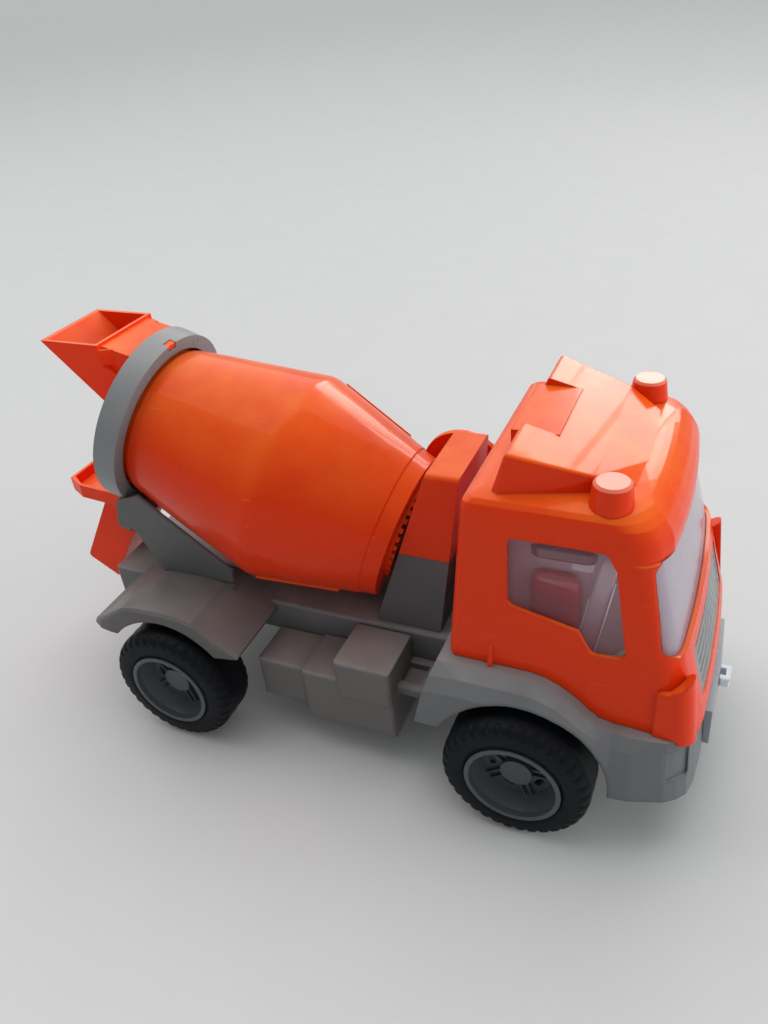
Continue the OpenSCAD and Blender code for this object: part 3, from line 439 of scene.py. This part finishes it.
for part, centre, half_x, half_z, height, lean, colour, cover in INSERT_FORMS:
    insert_clear = window_clear.copy()
    insert_clear.name = f"insert_{part}_clear"
    insert_nodes = insert_clear.node_tree.nodes
    insert_nodes["Map Range"].inputs["To Min"].default_value = cover
    insert_nodes.remove(insert_nodes["Mix"])
    insert_nodes["Principled BSDF"].inputs["Base Color"].default_value = (*colour, 1.0)
    for side, outward in (("right", -1.0), ("left", 1.0)):
        points = raised_panel(centre, half_x, half_z, height, lean, outward)
        form = grid_piece(f"insert_{part}_{side}", points, insert_clear, "truck", close_u=False,
                          flip=outward > 0)

# Studio: a plain pale floor, daylight from above and behind, a row of tall panes behind the
# truck that shows only in its gloss, and weak fills from the sides and the front.
FLOOR_REACH = 400.0
FLOOR_CORNERS = [(-FLOOR_REACH, -FLOOR_REACH, 0.0), (FLOOR_REACH, -FLOOR_REACH, 0.0),
                 (FLOOR_REACH, FLOOR_REACH, 0.0), (-FLOOR_REACH, FLOOR_REACH, 0.0)]
floor_mesh = bpy.data.meshes.new("floor")
floor_mesh.from_pydata(FLOOR_CORNERS, [], [(0, 1, 2, 3)])
floor = bpy.data.objects.new("floor", floor_mesh)
bpy.context.scene.collection.objects.link(floor)
floor_mesh.materials.append(moulded_plastic("floor_paint", (0.60, 0.60, 0.59), (0.58, 0.58, 0.57),
                                            0.80, 0.02, top_film_share=0.0, edge_wear_and_highlight=0.0, gloss=0.1))
world = bpy.data.worlds.new("studio")
bpy.context.scene.world = world
world.use_nodes = True
world.node_tree.nodes["Background"].inputs["Color"].default_value = (0.93, 0.96, 1.0, 1.0)
world.node_tree.nodes["Background"].inputs["Strength"].default_value = 0.30
PANES = [(-0.16, 0.30), (0.14, 0.24), (0.36, 0.16), (0.50, 0.05), (0.58, 0.04), (0.79, 0.22)]
PANE_BACK, PANE_UP, PANE_HEIGHT = 2.27, 1.15, 0.95
PANE_POWER = 27.0          # watts for each metre of a pane's width
LIGHTS = [(f"window_pane_{i + 1}", Vector((across, PANE_BACK, PANE_UP)), width, PANE_HEIGHT,
           PANE_POWER * width, (1.0, 0.97, 0.93)) for i, (across, width) in enumerate(PANES)]
LIGHTS += [("top_light", Vector((0.10, 0.60, 4.00)), 5.0, 5.0, 50.0, (0.97, 0.98, 1.0)),
           ("right_fill", Vector((2.10, -1.10, 1.20)), 2.0, 2.0, 10.0, (1.0, 0.98, 0.95)),
           ("left_fill", Vector((-2.20, -0.50, 1.10)), 2.0, 2.0, 9.0, (0.98, 0.98, 1.0)),
           ("front_fill", Vector((2.60, 0.70, 0.60)), 2.0, 1.0, 34.0, (0.94, 0.97, 1.0))]
LIT_POINT = Vector((0.0, 0.0, 0.1))
for name, place, width, height, power, tint in LIGHTS:
    lamp = bpy.data.lights.new(name, "AREA")
    lamp.shape = "RECTANGLE"
    lamp.size = width
    lamp.size_y = height
    lamp.energy = power
    lamp.color = tint
    holder = bpy.data.objects.new(name, lamp)
    bpy.context.scene.collection.objects.link(holder)
    holder.location = place
    holder.rotation_euler = (LIT_POINT - place).to_track_quat("-Z", "Y").to_euler()
    is_pane = name.startswith("window_pane")
    holder.visible_diffuse = not is_pane
    holder.visible_glossy = is_pane
DAY_GOES = Vector((0.30, -0.50, -0.80))
day = bpy.data.lights.new("day_light", "SUN")
day.energy = 1.9
day.angle = math.radians(85.0)
day_holder = bpy.data.objects.new("day_light", day)
bpy.context.scene.collection.objects.link(day_holder)
day_holder.rotation_euler = DAY_GOES.to_track_quat("-Z", "Y").to_euler()
bpy.context.scene.view_settings.view_transform = "Standard"

# Camera: a hand-held wide lens ahead of the truck's right side and above its roof, looking
# down and back along it, with a slight tilt.
EYE = (0.188206, -0.349849, 0.381519)
YAW, PITCH, ROLL = 0.460, 0.586, -0.105
lens = bpy.data.cameras.new("camera")
lens.sensor_fit = "VERTICAL"
lens.sensor_height = 36.0
lens.lens = 29.24
camera = bpy.data.objects.new("camera", lens)
bpy.context.scene.collection.objects.link(camera)
bpy.context.scene.camera = camera
ahead = Vector((-math.sin(YAW) * math.cos(PITCH), math.cos(YAW) * math.cos(PITCH),
                -math.sin(PITCH)))
right = Vector((math.cos(YAW), math.sin(YAW), 0.0))
up = right.cross(ahead)
right, up = (right * math.cos(ROLL) + up * math.sin(ROLL),
             up * math.cos(ROLL) - right * math.sin(ROLL))
camera.matrix_world = Matrix.Translation(EYE) @ Matrix((right, up, -ahead)).transposed().to_4x4()
